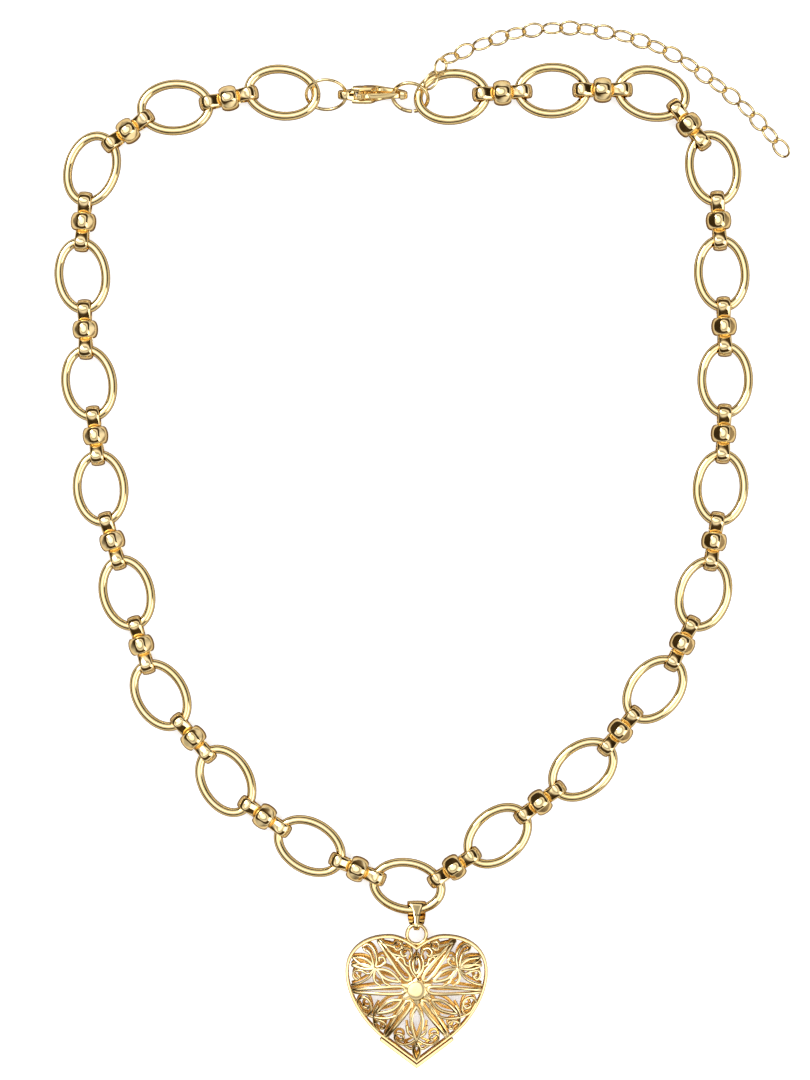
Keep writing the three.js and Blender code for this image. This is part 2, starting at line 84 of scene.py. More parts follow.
# How wide the strip is in front and behind, at stations down from the wire.
BAIL_FRONT = ((-1.5, -0.5, 0.45, 1.2, 2.0), (3.3, 2.5, 1.6, 1.2, 0.95))
BAIL_BACK = ((-1.4, 0.6, 2.0, 2.6, 3.0), (3.3, 3.1, 2.6, 1.3, 1.0))
# The bail's two dimples are drawn as small near-black discs on its front: painted shade, in place of the pits'
# shadow.
DIMPLE_X = 1.35
DIMPLE_Y = 0.24  # to each side of the middle
DIMPLE = ((0.15, -0.2), (0.15, 0.0), (0.13, 0.02), (0.02, 0.01))  # as (radius, height)

# In the clasp's own plane its tail is at X = 0, its nose towards +X and its lever on the +Y side.
TAIL_EYE = (1.2, 0)
TAIL_EYE_R = 0.82
PIVOT = (4.6, 0.5)
CLAW_HALF = 1.45
CLAW_BEVEL = 0.42
# How thick the claw is at stations along it, as a share of the thickest.
CLAW_SWELL = (
    (-0.2, 1.6, 2.8, 4.4, 6.4, 7.6, 8.6, 10.4, 12.1),
    (0.5, 0.52, 0.84, 1, 0.98, 0.84, 0.7, 0.58, 0.42),
)
# One of the two walls beside the lever's slot.
CHEEK = [(2.3, 1.0), (3.6, 1.6), (5.7, 1.5), (6.2, 0.2), (6.5, -0.9), (6.3, -1.7), (3.2, -1.5), (2.4, -0.9)]
CHEEK_Z = 1.08
CHEEK_HALF = 0.37
CHEEK_BEVEL = 0.3
LEVER_HALF = 0.44
LEVER_BEVEL = 0.16
RIVET = ((-1.56, 0.02), (-1.54, 0.3), (-1.44, 0.42), (1.44, 0.42), (1.54, 0.3), (1.56, 0.02))
SPRING_CENTRE = (PIVOT[0] - 1.42, PIVOT[1] + 0.35)
SPRING_TURNS = 3
SPRING_LENGTH = 0.7
SPRING_R = 0.26
SPRING_WIRE_R = 0.07

TAIL_RING_R = 3.5
TAIL_RING_WIRE_R = 0.28
TAIL_RING_TURN = 128  # where its wire's ends meet
TAIL_RING_GAP = 1.4
END_RING_R = 3.1
END_RING_WIRE_R = 0.33
END_RING_TURN = -75  # where its open side is
END_RING_GAP = 10

SMALL_LINKS = 24
LINKS_PER_GROUP = 4
SMALL_A = 1.72
SMALL_B = 1.26
SMALL_WIRE_R = 0.22
SMALL_TILT = 38
GROUP_GAP = 0.42
EXTENDER_ROUTE = [
    (0.97, 78.95, 4.1), (1.8, 80.5, 4.4), (3.1, 82.5, 4.2), (4.5, 84.3, 2.6),
    (6.5, 85.6, 1.3), (10, 87.1, 1.1), (15.2, 88.9, 1.1),
    (21.3, 90, 1.1), (27.5, 90.1, 1.1), (34, 89.1, 1.1), (39.7, 87.5, 1.1),
    (45.3, 84.9, 1.1), (50.6, 81.2, 1.1), (55.7, 77.2, 1.1), (60.4, 72.4, 1.1), (64.4, 67.6, 1.1),
]

FRAME_HEIGHT = 189  # what the camera sees from top to bottom, at the chain's height
CAMERA_OFFSET = (-3.1, 0.8)  # from the middle of the necklace's box
CAMERA_LENS = 100
SENSOR = 36
CHAIN_Z = 2.35

# What the polished metal reflects: the lit floor, and above it the studio from the horizon to straight
# up, as (share of the way up, brightness).
FLOOR_GLOW = 0.5
FLOOR_NEAR = (0.14, 0.07, 0.012)  # in the metal's shade
FLOOR_FAR = (0.95, 0.86, 0.72)
SHADE_REACH = 10
SKY = [
    (0.0, 0.3), (0.05, 0.85), (0.12, 1.0), (0.17, 0.15), (0.23, 0.05), (0.43, 0.05), (0.49, 0.3),
    (0.54, 1.3), (0.61, 1.4), (0.66, 0.65), (0.73, 0.65), (0.79, 1.9), (1.0, 2.5),
]
SKY_WARMTH = (1, 0.62, 0.16)  # the tint of what is dark in the studio
SKY_TILT = (6, 11)  # how far the studio's bright middle leans from straight up, in degrees
SKY_PATCHES = (0.5, 1.3)  # how dim and how bright its soft patches are
SKY_PATCH_SCALE = 1.7
SKY_STEADY = (0.6, 0.8)  # the shares of the way up between which the patches fade out
BACKDROP = 0.93  # what everything but a reflection sees

SHARP_EDGE = 38  # degrees
DRIFT_SCALE = 260  # of the slow change in the plating's colour
HANDLING_SCALE = 900  # of the change in its gloss
BUMP_DEPTH = 0.05

UP = Vector((0, 0, 1))
ACROSS = Vector((0, 1, 0))

# ---- Frame ----

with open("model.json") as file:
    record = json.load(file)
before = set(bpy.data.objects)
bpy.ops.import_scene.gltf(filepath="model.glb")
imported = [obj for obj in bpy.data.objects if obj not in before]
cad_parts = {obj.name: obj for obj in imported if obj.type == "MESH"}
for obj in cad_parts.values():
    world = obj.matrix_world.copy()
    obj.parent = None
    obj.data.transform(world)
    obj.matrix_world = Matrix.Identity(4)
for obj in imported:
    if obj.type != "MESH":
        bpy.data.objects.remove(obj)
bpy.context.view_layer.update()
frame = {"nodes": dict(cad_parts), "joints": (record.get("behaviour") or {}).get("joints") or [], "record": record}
joints = {joint["name"]: joint for joint in frame["joints"]}
body_of_node = {
    node: body for body, nodes in frame["record"]["behaviour"]["bodies"].items() for node in nodes
}


def joint_point(name):
    return Vector(joints[name]["pos_m"]) / MM


def joint_axis(name):
    return Vector(joints[name]["axis"]).normalized()


def node_points(node):
    """A CAD node's vertices, in millimetres."""
    return np.array([v.co for v in frame["nodes"][node].data.vertices], float) / MM


def axes_to_matrix(along, across, up, origin):
    """The matrix that lays X, Y and Z on the three axes, at origin."""
    matrix = Matrix((along, across, up)).transposed().to_4x4()
    matrix.translation = origin
    return matrix


def lie_flat(node):
    """Where a flat-lying long piece is: its middle, with X along its longest direction and Z up."""
    points = node_points(node)
    flat = points[:, :2] - points[:, :2].mean(0)
    values, vectors = np.linalg.eigh(flat.T @ flat)
    along = Vector((*vectors[:, values.argmax()], 0)).normalized()
    across = UP.cross(along)
    middle = Vector()
    for axis in (along, across, UP):
        reach = points @ np.array(axis)
        middle += axis * (reach.min() + reach.max()) / 2
    return axes_to_matrix(along, across, UP, middle)


def ring_plane(node):
    """The frame of a jump ring: its centre, with X on its roll axis and Z square to the ring's plane."""
    centre, along = joint_point(f"{node}_roll"), joint_axis(f"{node}_roll")
    points = node_points(node) - np.array(centre)
    values, vectors = np.linalg.eigh(points.T @ points)
    up = Vector(vectors[:, values.argmin()])
    up = (up - along * up.dot(along)).normalized()
    if up.z < 0:
        up.negate()
    return axes_to_matrix(along, up.cross(along), up, centre)


# ---- Materials ----


def new_material(name, colour, roughness):
    """A plain metal to build on, with its node tree and its shader."""
    material = bpy.data.materials.new(name)
    material.use_nodes = True
    tree = material.node_tree
    shader = tree.nodes["Principled BSDF"]
    shader.inputs["Base Color"].default_value = (*colour, 1)
    shader.inputs["Metallic"].default_value = 1
    shader.inputs["Roughness"].default_value = roughness
    return material, tree, shader


def noise(tree, scale, detail):
    coordinates = tree.nodes.new("ShaderNodeTexCoord")
    texture = tree.nodes.new("ShaderNodeTexNoise")
    texture.inputs["Scale"].default_value = scale
    texture.inputs["Detail"].default_value = detail
    tree.links.new(coordinates.outputs["Object"], texture.inputs["Vector"])
    return texture


def ramp(tree, source, low, high):
    """A colour ramp from low to high over the middle of a noise's range."""
    node = tree.nodes.new("ShaderNodeValToRGB")
    node.color_ramp.elements[0].position = 0.35
    node.color_ramp.elements[1].position = 0.65
    node.color_ramp.elements[0].color = (*low, 1)
    node.color_ramp.elements[1].color = (*high, 1)
    tree.links.new(source, node.inputs["Fac"])
    return node.outputs["Color"]


def spread(tree, source, low, high):
    """A number from low to high over the middle of a noise's range."""
    node = tree.nodes.new("ShaderNodeMapRange")
    node.inputs["From Min"].default_value = 0.3
    node.inputs["From Max"].default_value = 0.7
    node.inputs["To Min"].default_value = low
    node.inputs["To Max"].default_value = high
    tree.links.new(source, node.inputs["Value"])
    return node.outputs["Result"]


def plated(name, low, high, roughness, wave, wave_scale):
    """Polished plating: the colour and gloss drift a little, and the surface is softly uneven."""
    material, tree, shader = new_material(name, high, roughness[0])
    drift = noise(tree, DRIFT_SCALE, 3)
    tree.links.new(ramp(tree, drift.outputs["Fac"], low, high), shader.inputs["Base Color"])
    handling = noise(tree, HANDLING_SCALE, 5)
    tree.links.new(spread(tree, handling.outputs["Fac"], *roughness), shader.inputs["Roughness"])
    uneven = noise(tree, wave_scale, 2)
    bump = tree.nodes.new("ShaderNodeBump")
    bump.inputs["Strength"].default_value = wave
    bump.inputs["Distance"].default_value = BUMP_DEPTH * MM
    tree.links.new(uneven.outputs["Fac"], bump.inputs["Height"])
    tree.links.new(bump.outputs["Normal"], shader.inputs["Normal"])
    return material


MATERIALS = {
    "wire": plated("gold_wire", (0.87, 0.67, 0.32), (0.92, 0.73, 0.39), (0.03, 0.06), 0.08, 420),
    "stamped": plated("gold_stamped", (0.87, 0.67, 0.33), (0.93, 0.72, 0.39), (0.06, 0.12), 0.15, 600),
    "cast": plated("gold_cast", (0.87, 0.66, 0.31), (0.93, 0.74, 0.4), (0.07, 0.14), 0.15, 900),
    # A darker, shaded copy of the gold: painted shade, for the heart's back shell under the openwork and for the
    # clasp's rivet pin.
    "shaded_gold": plated("gold_painted_shade", (0.72, 0.42, 0.1), (0.82, 0.53, 0.18), (0.12, 0.22), 0.4, 700),
    # Near-black: painted shade, worn by the discs that stand for the bail's dimples.
    "shade_mark": plated("dark_painted_shade", (0.04, 0.02, 0.006), (0.08, 0.045, 0.015), (0.4, 0.5), 0.3, 900),
    "steel": plated("spring_steel", (0.5, 0.5, 0.48), (0.62, 0.61, 0.58), (0.18, 0.28), 0.3, 900),
}

# ---- Meshes ----


def add_piece(name, parts, finish, body, nodes, matrix):
    """One object from (points, faces) parts in millimetres, laid by matrix, riding on a body."""
    points, faces = [], []
    for part_points, part_faces in parts:
        first = len(points)
        points.extend(part_points)
        faces.extend([tuple(first + i for i in face) for face in part_faces])
    mesh = bpy.data.meshes.new(name)
    mesh.from_pydata([(matrix @ Vector(p)) * MM for p in points], [], faces)
    finish_piece(name, mesh, finish, body, nodes)


def finish_piece(name, mesh, finish, body, nodes):
    """Makes the object of a mesh, with its material, the body it rides on and the nodes it replaces."""
    mesh.materials.append(MATERIALS[finish])
    mesh.polygons.foreach_set("use_smooth", [True] * len(mesh.polygons))
    piece = bpy.data.objects.new(name, mesh)
    bpy.context.scene.collection.objects.link(piece)
    split = piece.modifiers.new("sharp edges", "EDGE_SPLIT")
    split.split_angle = math.radians(SHARP_EDGE)
    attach(piece, body)
    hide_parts(*nodes)


def skin(rings, closed):
    """Joins rings of points, each as long as the next, into one surface. An open one gets flat ends."""
    sides = len(rings[0])
    points = [p for ring in rings for p in ring]
    faces = []
    for i in range(len(rings) if closed else len(rings) - 1):
        near, far = i * sides, (i + 1) % len(rings) * sides
        for k in range(sides):
            after = (k + 1) % sides
            faces.append((near + k, near + after, far + after, far + k))
    if not closed:
        faces.append(tuple(reversed(range(sides))))
        faces.append(tuple(range((len(rings) - 1) * sides, len(rings) * sides)))
    return points, faces


def round_section(radius, sides):
    """A circle's points, for sweeping or stacking."""
    return [
        (radius * math.cos(2 * math.pi * k / sides), radius * math.sin(2 * math.pi * k / sides))
        for k in range(sides)
    ]


def mirrored_section(side, middle=()):
    """A section from its half: side runs outwards from the middle, and is mirrored before it."""
    return [(u, -v) for u, v in reversed(side)] + [*middle] + side


def with_directions(path):
    """Pairs each point of a closed path with the path's direction there."""
    count = len(path)
    return [(p, (path[(i + 1) % count] - path[i - 1]).normalized()) for i, p in enumerate(path)]


def flat_tube(path, section, closed, ends=None):
    """Sweeps a section of (outward, up) points along a path of (point, direction) in a flat plane.
    ends gives the section's size at each step of an open path."""
    rings = []
    for i, (point, direction) in enumerate(path):
        outward = direction.cross(UP).normalized()
        size = ends[i] if ends else 1
        rings.append([point + (outward * u + UP * v) * size for u, v in section])
    return skin(rings, closed)


def ellipse_path(a, b, start, end, steps, closed=False):
    """(point, direction) along an ellipse, from start to end in radians."""
    path = []
    for i in range(steps if closed else steps + 1):
        t = start + (end - start) * i / steps
        point = Vector((a * math.cos(t), b * math.sin(t), 0))
        path.append((point, Vector((-a * math.sin(t), b * math.cos(t), 0)).normalized()))
    return path


def wire_ring(a, b, radius, start, gap, steps, sides, closed=False):
    """A bent wire, closed by solder, or open by gap degrees at start with its cut ends rounded off."""
    section = round_section(radius, sides)
    if closed:
        return flat_tube(ellipse_path(a, b, 0, 2 * math.pi, steps, True), section, True)
    start, gap = math.radians(start), math.radians(gap)
    path = ellipse_path(a, b, start + gap / 2, start + 2 * math.pi - gap / 2, steps)
    cut = 0.12 * radius
    first, last = path[0], path[-1]
    path.insert(0, (first[0] - first[1] * cut, first[1]))
    path.append((last[0] + last[1] * cut, last[1]))
    sizes = [0.86] + [1] * (len(path) - 2) + [0.86]
    return flat_tube(path, section, False, sizes)


def lathe(profile, sides, share=None):
    """Turns a closed (x, radius) profile about X. share(x, degrees) scales its radius."""
    rings = []
    for k in range(sides):
        angle = 2 * math.pi * k / sides
        ring = []
        for x, r in profile:
            scaled = r * share(x, math.degrees(angle)) if share else r
            ring.append(Vector((x, scaled * math.cos(angle), scaled * math.sin(angle))))
        rings.append(ring)
    return skin(rings, True)


def arc(centre, radius, start, end, steps):
    """Points of a round arc, from start to end degrees."""
    return [
        (
            centre[0] + radius * math.cos(math.radians(start + (end - start) * i / steps)),
            centre[1] + radius * math.sin(math.radians(start + (end - start) * i / steps)),
        )
        for i in range(steps + 1)
    ]


def smooth_path(points, per_span, closed=False):
    """A centripetal Catmull-Rom curve through the points."""
    points = [Vector(p) for p in points]
    if closed:
        chain = [points[-1]] + points + points[:2]
    else:
        chain = [2 * points[0] - points[1]] + points + [2 * points[-1] - points[-2]]
    out = []
    for p0, p1, p2, p3 in zip(chain, chain[1:], chain[2:], chain[3:]):
        t1 = max((p1 - p0).length ** 0.5, 1e-6)
        t2 = t1 + max((p2 - p1).length ** 0.5, 1e-6)
        t3 = t2 + max((p3 - p2).length ** 0.5, 1e-6)
        for i in range(per_span):
            t = t1 + (t2 - t1) * i / per_span
            a1 = (p0 * (t1 - t) + p1 * t) / t1
            a2 = (p1 * (t2 - t) + p2 * (t - t1)) / (t2 - t1)
            a3 = (p2 * (t3 - t) + p3 * (t - t2)) / (t3 - t2)
            b1 = (a1 * (t2 - t) + a2 * t) / t2
            b2 = (a2 * (t3 - t) + a3 * (t - t1)) / (t3 - t1)
            out.append((b1 * (t2 - t) + b2 * (t - t1)) / (t2 - t1))
    if not closed:
        out.append(points[-1])
    return out


# ---- Chain ----


def add_oval(node, number):
    """A link of round wire. Its butt joint lies near one end, at a different place on each link."""
    end = 180 if number % 3 else 0
    seam = end + (9, -24, 31, -12, 17)[number % 5]
    gap = math.degrees(OVAL_SEAM / OVAL_B)
    wire = wire_ring(OVAL_A, OVAL_B, OVAL_WIRE_R, seam, gap, 120, 24)
    add_piece(f"{node}_wire", [wire], "wire", body_of_node[node], [node], lie_flat(node))


def strip_section():
    """The strip's section as (outward, across): flat inside, crowned outside, with soft edges."""
    half = STRIP_WIDTH / 2
    inner, lip = 0.92 * half, 0.05
    points = [(0, -inner), (0, 0), (0, inner), (lip, half)]
    steps = 12
    for i in range(steps + 1):
        angle = math.pi * i / steps
        across = half * math.cos(angle)
        points.append((STRIP_EDGE_T + (STRIP_T - STRIP_EDGE_T) * math.sin(angle) ** 0.9, across))
    points.append((lip, -half))
    return points


def strip_loop():
    """The middle line of the strip's loop, in the XZ plane: two eyes and a pinched waist."""
    x, z = STRIP_SHOULDER
    half = [(share * WAIST_X, -WAIST_H) for share in (-1, -1 / 3, 1 / 3, 1)]
    half += [(x, -z), *arc((EYE_X, 0), EYE_R, -90, 90, 20), (x, z)]
    other = [(-x, -z) for x, z in half]
    return [Vector((x, 0, z)) for x, z in half + other]


def strip_parts():
    section = strip_section()
    rings = []
    for point, direction in with_directions(smooth_path(strip_loop(), 2, True)):
        outward = ACROSS.cross(direction).normalized()
        rings.append([point + outward * u + ACROSS * v for u, v in section])
    return [skin(rings, True)]


def pressed(x, degrees):
    """What a collar's pads leave of its radius."""
    share = 1
    for centre in COLLAR_PADS:
        off = abs((degrees - centre + 180) % 360 - 180)
        if off < COLLAR_PAD_HALF:
            chord = math.cos(math.radians(COLLAR_PAD_HALF)) / math.cos(math.radians(off))
            share = 1 - (1 - chord) * max(0, 1 - (2 * x / COLLAR_LENGTH) ** 2)
    return share


def collar_parts():
    """A barrel, hollow right through, with rolled ends and four pressed pads."""
    end = COLLAR_LENGTH / 2
    steps = 16
    least = 0.245  # what the belly's curve falls to at the ends
    outside = []
    for i in range(steps + 1):
        x = -end * math.cos(math.pi * i / steps)
        belly = math.sqrt(1 - (x / end) ** 2 * 0.94)
        outside.append((x, COLLAR_END_R + (COLLAR_R - COLLAR_END_R) * (belly - least) / (1 - least)))
    mouth = [(end + 0.04, COLLAR_END_R - 0.08), (end, COLLAR_END_R - 0.2)]
    inside = [(x * 0.95, r - COLLAR_T) for x, r in reversed(outside)]
    profile = outside + mouth + inside + [(-x, r) for x, r in reversed(mouth)]
    return [lathe(profile, 72, pressed)]


def add_connector(node):
    place = lie_flat(node)
    body = body_of_node[node]
    add_piece(f"{node}_strip", strip_parts(), "stamped", body, [node], place)
    add_piece(f"{node}_collar", collar_parts(), "stamped", body, [node], place)


# ---- Heart ----


def heart_outline():
    """The outline's right half from the cleft to the point, in millimetres from the boss."""
    spans = [
        ((0, 7.3), (1.2, 8.3), (2.9, 9.35), (4.9, 9.35)),
        ((4.9, 9.35), (9.4, 9.35), (12.4, 6.8), (12.4, 3)),
        ((12.4, 3), (12.4, -1.2), (9.4, -5.9), TIP_START),
        (TIP_START, (4.03, -10.02), (2.02, -11.53), HEART_TIP),
    ]
    half = []
    for span in spans:
        knots = [Vector((*p, 0)) for p in span]
        half += interpolate_bezier(*knots, 17)[:-1]
    half.append(Vector((*HEART_TIP, 0)))
    mirrored = [Vector((-p.x, p.y, 0)) for p in reversed(half[1:-1])]
    return half + mirrored


OUTLINE = heart_outline()
OUTLINE_ANGLES = np.array([math.atan2(p.x, p.y) % (2 * math.pi) for p in OUTLINE])
OUTLINE_REACH = np.array([p.length for p in OUTLINE])


def share_of(x, y):
    """How far a point is from the boss, as a share of the way to the outline."""
    reach = math.hypot(x, y)
    if reach < 1e-9:
        return 0
    angle = math.atan2(x, y) % (2 * math.pi)
    return reach / np.interp(angle, OUTLINE_ANGLES, OUTLINE_REACH, period=2 * math.pi)


def dome_height(x, y):
    """The shell's height over the seam: PUFF over the boss, and falling to RIM_H at the outline."""
    share = min(1, max(0, (share_of(x, y) - BOSS_SHARE) / (1 - BOSS_SHARE)))
    return RIM_H + (PUFF - RIM_H) * (1 - share**2.4) ** 0.7


def on_dome(x, y):
    """The dome's point over (x, y), pulled in to the rim if it lies outside, and the normal there."""
    share = share_of(x, y)
    inset = 1 - RIM_W / max(math.hypot(x, y) / max(share, 0.01), 1)
    if share > inset:
        x, y = x * inset / share, y * inset / share
    step = 0.05
    slope_x = (dome_height(x + step, y) - dome_height(x - step, y)) / (2 * step)
    slope_y = (dome_height(x, y + step) - dome_height(x, y - step)) / (2 * step)
    normal = Vector((-slope_x, -slope_y, 1)).normalized()
    return Vector((x, y, dome_height(x, y))), normal


# A bar's section, a unit wide and a unit high, its nearly flat top at the dome's surface.
BAR_SECTION = [
    (-0.5, -0.9), (-0.5, -0.28), (-0.43, -0.1), (-0.27, -0.02), (0, 0), (0.27, -0.02), (0.43, -0.1),
    (0.5, -0.28), (0.5, -0.9), (0, -1),
]


def stroke(points, width, closed=False, spans=6):
    """A bar of the openwork along a flat curve laid over the dome."""
    path = smooth_path([Vector((*p, 0)) for p in points], spans, closed)
    placed = [on_dome(p.x, p.y) for p in path]
    rings = []
    count = len(placed)
    for i, (point, normal) in enumerate(placed):
        ahead = placed[(i + 1) % count][0] if closed or i < count - 1 else point
        behind = placed[i - 1][0] if closed or i else point
        direction = (ahead - behind).normalized()
        side = direction.cross(normal).normalized()
        normal = side.cross(direction).normalized()
        rings.append([point + side * (u * width) + normal * (v * FILIGREE_H) for u, v in BAR_SECTION])
    return skin(rings, closed)



def spear(start, tip, half):
    """A long narrow loop with a round end at start, coming to a point at tip."""
    start, tip = Vector(start), Vector(tip)
    run = tip - start
    across = Vector((-run.y, run.x)).normalized() * half
    back = run.normalized() * half
    points = [
        tip + across * 0.25,
        start + run * 0.5 + across * 0.72,
        start + run * 0.1 + across,
        start - back * 0.45 + across * 0.72,
        start - back,
        start - back * 0.45 - across * 0.72,
        start + run * 0.1 - across,
        start + run * 0.5 - across * 0.72,
        tip - across * 0.25,
    ]
    return [tuple(p) for p in points]


def lens(start, tip, half):
    """A pointed leaf from start to tip and back."""
    start, tip = Vector(start), Vector(tip)
    run = tip - start
    across = Vector((-run.y, run.x)).normalized() * half
    return [
        tuple(p)
        for p in (
            start,
            start + run * 0.22 + across * 0.72,
            start + run * 0.5 + across,
            start + run * 0.8 + across * 0.6,
            tip,
            start + run * 0.8 - across * 0.6,
            start + run * 0.5 - across,
            start + run * 0.22 - across * 0.72,
            start,
        )
    ]


# The openwork's bars on the heart's right half. The left half mirrors them.
SIDE_BROAD = [
    spear((1.62, 2.35), (6.7, 8.9), 0.66),
    spear((2.65, 0.15), (12.2, -0.35), 0.64),
    spear((1.4, -2.25), (5.95, -9.0), 0.62),
    # the flower's petals above and the leaf below
    lens((6.9, 3.7), (3.0, 1.65), 0.72),
    lens((7.5, 4.2), (11.1, 5.6), 0.62),
    lens((7.4, 3.9), (11.3, 4.3), 0.4),
    lens((2.6, -1.6), (6.9, -4.0), 0.78),
]
SIDE_CURLS = [
    # the flower's tendrils
    [(7.2, 4.2), (7.0, 5.5), (7.3, 6.8), (8.0, 7.7), (8.9, 8.0), (9.4, 7.5), (9.0, 6.9)],
    [(7.5, 4.3), (7.8, 5.6), (8.2, 6.5), (8.8, 6.9)],
    [(7.0, 4.1), (6.1, 4.4), (5.5, 5.1), (5.8, 5.8), (6.5, 5.7), (6.5, 5.1)],
    [
        (7.3, 3.9), (8.4, 2.9), (9.6, 3.35), (10.8, 3.3), (11.1, 2.4), (10.5, 1.8), (10.0, 2.3),
        (10.4, 2.7),
    ],
    [(7.2, 3.9), (7.5, 2.6), (7.2, 1.5), (6.3, 0.85)],
    [(7.3, 3.9), (8.4, 2.2), (9.9, 1.25), (11.4, 0.8)],
    [(7.2, 3.9), (6.2, 2.6), (5.6, 1.4), (4.6, 0.9)],
    # the fleur beside the cleft
    [
        (0.1, 2.4), (0.9, 3.6), (1.15, 5.0), (0.75, 6.1), (1.1, 7.1), (2.1, 7.35), (2.7, 6.7),
        (2.3, 6.05), (1.75, 6.3),
    ],
    [(1.0, 4.2), (1.9, 4.6), (2.2, 5.5), (3.0, 5.9), (3.5, 5.2)],
    [(2.4, 7.3), (2.7, 8.2), (3.5, 8.4), (3.9, 7.7), (3.4, 7.1), (2.8, 7.4)],
    [(3.9, 7.6), (4.9, 7.9), (6.3, 8.2)],
    [(2.8, 6.1), (4.0, 6.4), (5.0, 7.0)],
    # the leaf's stem and the scrolls at the side
    [(2.1, -2.0), (2.9, -3.9), (5.2, -4.9), (7.9, -4.7), (10.5, -3.6)],
    [(6.7, -2.6), (7.5, -4.2), (7.4, -6.2), (6.9, -7.6)],
    [
        (10.5, -3.6), (10.4, -2.2), (9.7, -1.35), (8.7, -1.5), (8.1, -2.4), (8.6, -3.2), (9.4, -2.9),
        (9.2, -2.3),
    ],
    [(8.1, -2.4), (7.9, -3.6), (8.6, -4.6)],
    [(7.4, -5.8), (6.4, -5.4), (5.6, -5.8), (5.6, -6.6), (6.2, -6.8), (6.4, -6.3)],
    # the scroll above the point
    [
        (0.2, -8.6), (1.2, -9.3), (2.4, -9.6), (3.4, -9.2), (3.9, -8.4), (3.4, -7.65), (2.5, -7.9),
        (2.4, -8.6), (2.9, -8.8),
    ],
    [(0.25, -8.3), (1.5, -7.5), (1.8, -6.1)],
    [(0, -9.6), (1.1, -10.3), (2.2, -9.7)],
]

# The bars on the middle line.
CENTRE_BROAD = [
    lens((0, -2.7), (0, -8.7), 1.0),
    lens((0, -9.1), (0, -12.3), 0.6),
    lens((0, 3.0), (0, 5.9), 0.5),
]
CENTRE_CURLS = [[(0, 5.8), (0, 7.1)]]


def hub_reach(angle):
    """How far the hub's plate reaches at an angle, in degrees."""
    reach = HUB_R
    for direction, far in HUB_POINTS:
        off = abs((angle - direction + 180) % 360 - 180)
        reach = max(reach, far + (HUB_R - far) * (off / HUB_POINT_HALF) ** HUB_POINT_CURVE)
    return reach


def boss_reach(angle):
    """How far the flat disc reaches: the same at every angle."""
    return BOSS_R


def turned(profile, reach_at, steps=120):
    """Turns (share of the reach, height over the dome) pairs about the boss's axis, from below to the
    top. reach_at gives the reach at an angle in degrees."""
    rings = []
    for share, height in profile:
        ring = []
        for k in range(steps):
            angle = 2 * math.pi * k / steps
            r = reach_at(math.degrees(angle)) * share
            ring.append(Vector((r * math.cos(angle), r * math.sin(angle), PUFF + height)))
        rings.append(ring)
    return skin(rings, False)


def boss_parts():
    """The flat disc in the middle, and the pointed plate that it sits on."""
    disc = [(0.8, -0.6), (1, -0.5), (1, -0.2), (0.96, -0.09), (0.86, -0.03), (0.5, 0), (0.02, 0)]
    plate = [(0.9, -0.75), (1, -0.7), (1, -0.36), (0.95, -0.26), (0.6, -0.14)]
    return [turned(disc, boss_reach), turned(plate, hub_reach)]


# The rim's section, as (inward from the outline, up from the seam).
RIM_SECTION = [
    (0.1, 0), (0, 0.08), (0, RIM_H - 0.3), (0.04, RIM_H - 0.12), (0.16, RIM_H), (RIM_W - 0.16, RIM_H),
    (RIM_W - 0.04, RIM_H - 0.1), (RIM_W, RIM_H - 0.3), (RIM_W, RIM_H - 0.65), (0.3, 0),
]


def rim_parts():
    """The shell's edge: an upright band round the outline, rolled over along its top."""
    band = []
    for point, direction in with_directions(OUTLINE):
        inward = direction.cross(UP).normalized()
        band.append([point + inward * u + UP * v for u, v in RIM_SECTION])
    return [skin(band, True)]


def shell_parts():
    """One half of the heart, with its seam at Z = 0 and its boss's axis on Z."""
    parts = [*boss_parts(), *rim_parts()]
    for bars, width in ((SIDE_BROAD, SPEAR_W), (SIDE_CURLS, CURL_W)):
        for points in bars:
            parts.append(stroke(points, width))
            parts.append(stroke([(-x, y) for x, y in points], width))
    parts += [stroke(points, SPEAR_W) for points in CENTRE_BROAD]
    parts += [stroke(points, CURL_W) for points in CENTRE_CURLS]
    return parts


def tip_strip_parts():
    """The strip folded round the heart's point."""
    start, point = Vector((*TIP_START, 0)), Vector((*HEART_TIP, 0))
    run = (point - start).normalized()
    out = Vector((-run.y, run.x, 0))
    path = []
    steps = 12
    for i in range(steps + 1):
        path.append((start.lerp(point, i / steps), out))
    path[-1] = (point, Vector((0, 1 / out.y, 0)))
    path += [(Vector((-p.x, p.y, 0)), Vector((-n.x, n.y, 0))) for p, n in reversed(path[:-1])]
    half = TIP_STRIP_H / 2
    section = mirrored_section([(0.62, half - 0.14), (0.5, half), (0.12, half)])
    rings = [[p + n * u + UP * v for u, v in section] for p, n in path]
    return [skin(rings, False)]


def add_heart():
    low, high = (Vector(corner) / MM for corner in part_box("heart_front_shell"))
    centre = Vector(((low.x + high.x) / 2, low.y - HEART_TIP[1] + HEART_RISE, low.z))
    front = Matrix.Translation(centre)
    back = Matrix.Translation(centre - UP * 2 * SEAM_GAP) @ Matrix.Rotation(math.pi, 4, "Y")
    shell = shell_parts()
    add_piece("heart_front_openwork", shell, "cast", "heart", ["heart_front_shell"], front)
    # The back shell is the same gold, drawn darker: painted shade under the front shell.
    add_piece("heart_back_openwork", shell, "shaded_gold", "heart", ["heart_back_shell"], back)
    middle = Matrix.Translation(centre - UP * SEAM_GAP)
    add_piece("heart_point_strip", tip_strip_parts(), "stamped", "heart", ["heart_tip_strip"], middle)
    ring_low, ring_high = (Vector(corner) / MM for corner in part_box("pendant_ring"))
    ring = wire_ring(PENDANT_RING_R, PENDANT_RING_R, PENDANT_RING_WIRE_R, 0, 0, 72, 20, True)
    place = Matrix.Translation((ring_low + ring_high) / 2)
    add_piece("heart_ring", [ring], "wire", "heart", ["pendant_ring"], place)


# ---- Bail ----


